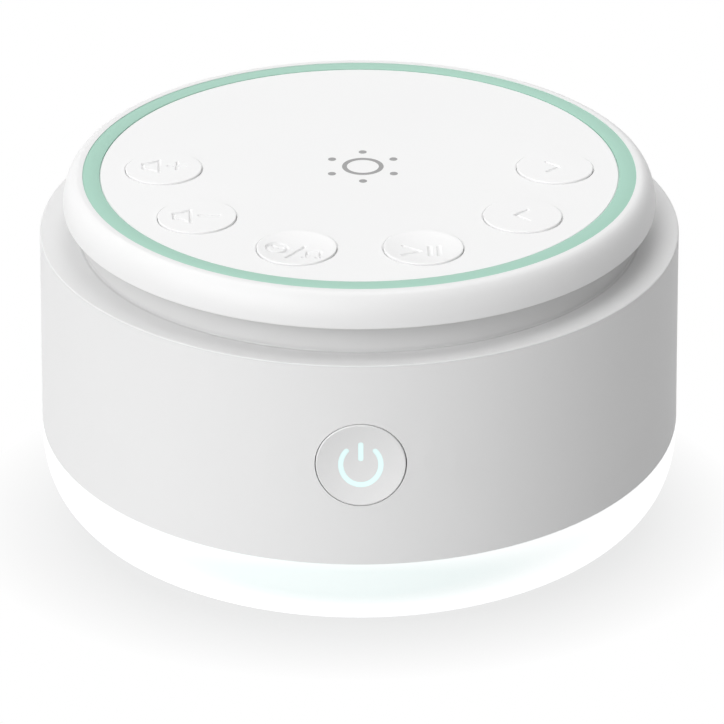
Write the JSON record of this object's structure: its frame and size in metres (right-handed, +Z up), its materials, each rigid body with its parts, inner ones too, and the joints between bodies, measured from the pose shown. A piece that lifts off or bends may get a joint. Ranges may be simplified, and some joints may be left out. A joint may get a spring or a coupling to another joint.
{
  "type": "white noise sound machine",
  "caption": "Round bedside white noise sound machine with a lit base, a mushroom cap with press keys round a light button, and a power key on the front.",
  "frame": {"origin": "on the floor under the centre of the round body", "axes": "+Z up, -Y out of the front with the power key, +X to the right seen from the front"},
  "size_m": [0.1022, 0.1022, 0.0546],
  "materials": {
    "white_plastic": "fine satin moulding",
    "mint_plastic": "satin",
    "milky_plastic": "milky, lit from within",
    "sign_plastic": "clear, lit from behind",
    "base_plastic": "fine texture",
    "reflector_plastic": "white",
    "foot_rubber": "matt",
    "board_laminate": "solder mask",
    "lamp": "clear resin",
    "component_plastic": "moulded",
    "connector_plastic": "natural",
    "switch_plastic": "moulded",
    "plunger_plastic": "moulded",
    "socket_steel": "plated",
    "screw_steel": "plated",
    "cell_wrap": "laminated foil pouch",
    "strap_plastic": "moulded",
    "foam": "open foam",
    "frame_steel": "zinc and black paint",
    "magnet": "sintered",
    "cone_paper": "pressed pulp",
    "spider_cloth": "resin-dipped weave",
    "coil_wire": "enamelled wire",
    "surround_rubber": "soft",
    "ribbon_film": "polyester film",
    "lead_sleeve": "wire sleeve"
  },
  "bodies": {
    "machine_body": {"accent_ring": "mint_plastic", "base_plate": "base_plastic", "base_screws": "screw_steel", "battery_bracket": "strap_plastic", "battery_cell": "cell_wrap", "battery_leads": "lead_sleeve", "board_components": "component_plastic", "board_connectors": "connector_plastic", "board_screws": "screw_steel", "cap_screws": "screw_steel", "foot_front_left": "foot_rubber", "foot_front_right": "foot_rubber", "foot_rear_left": "foot_rubber", "foot_rear_right": "foot_rubber", "key_board": "board_laminate", "key_ribbon": "ribbon_film", "key_switches": "switch_plastic", "led_board": "board_laminate", "led_leads": "lead_sleeve", "light_diffuser": "milky_plastic", "light_reflector": "reflector_plastic", "main_board": "board_laminate", "main_housing": "white_plastic", "night_light_leds": "lamp", "power_leads": "lead_sleeve", "power_led": "lamp", "power_switch": "switch_plastic", "power_switch_board": "board_laminate", "speaker_cone": "cone_paper", "speaker_dust_cap": "cone_paper", "speaker_frame": "frame_steel", "speaker_gasket": "foam", "speaker_leads": "lead_sleeve", "speaker_magnet": "magnet", "speaker_screws": "screw_steel", "speaker_spider": "spider_cloth", "speaker_surround": "surround_rubber", "speaker_top_plate": "frame_steel", "speaker_voice_coil": "coil_wire", "speaker_yoke": "frame_steel", "top_cap": "white_plastic", "top_panel": "white_plastic", "touch_pad": "foam", "usb_socket": "socket_steel"},
    "key_volume_up": {"key_volume_up": "white_plastic", "plunger_volume_up": "plunger_plastic"},
    "key_volume_down": {"key_volume_down": "white_plastic", "plunger_volume_down": "plunger_plastic"},
    "key_timer": {"key_timer": "white_plastic", "plunger_timer": "plunger_plastic"},
    "key_play_pause": {"key_play_pause": "white_plastic", "plunger_play_pause": "plunger_plastic"},
    "key_previous": {"key_previous": "white_plastic", "plunger_previous": "plunger_plastic"},
    "key_next": {"key_next": "white_plastic", "plunger_next": "plunger_plastic"},
    "power_key": {"power_key": "white_plastic", "power_key_icon": "sign_plastic", "power_switch_plunger": "plunger_plastic"}
  },
  "joints": [
    {"name": "volume_up_press", "type": "slide", "parent": "machine_body", "child": "key_volume_up", "axis": [0, 0, -1], "range_m": [0, 0.0005], "stiffness_N_per_m": 150, "springref_m": -0.0002},
    {"name": "volume_down_press", "type": "slide", "parent": "machine_body", "child": "key_volume_down", "axis": [0, 0, -1], "range_m": [0, 0.0005], "stiffness_N_per_m": 150, "springref_m": -0.0002},
    {"name": "timer_press", "type": "slide", "parent": "machine_body", "child": "key_timer", "axis": [0, 0, -1], "range_m": [0, 0.0005], "stiffness_N_per_m": 150, "springref_m": -0.0002},
    {"name": "play_pause_press", "type": "slide", "parent": "machine_body", "child": "key_play_pause", "axis": [0, 0, -1], "range_m": [0, 0.0005], "stiffness_N_per_m": 150, "springref_m": -0.0002},
    {"name": "previous_press", "type": "slide", "parent": "machine_body", "child": "key_previous", "axis": [0, 0, -1], "range_m": [0, 0.0005], "stiffness_N_per_m": 150, "springref_m": -0.0002},
    {"name": "next_press", "type": "slide", "parent": "machine_body", "child": "key_next", "axis": [0, 0, -1], "range_m": [0, 0.0005], "stiffness_N_per_m": 150, "springref_m": -0.0002},
    {"name": "power_press", "type": "slide", "parent": "machine_body", "child": "power_key", "axis": [0, 1, 0], "range_m": [0, 0.0006], "stiffness_N_per_m": 150, "springref_m": -0.0002}
  ]
}
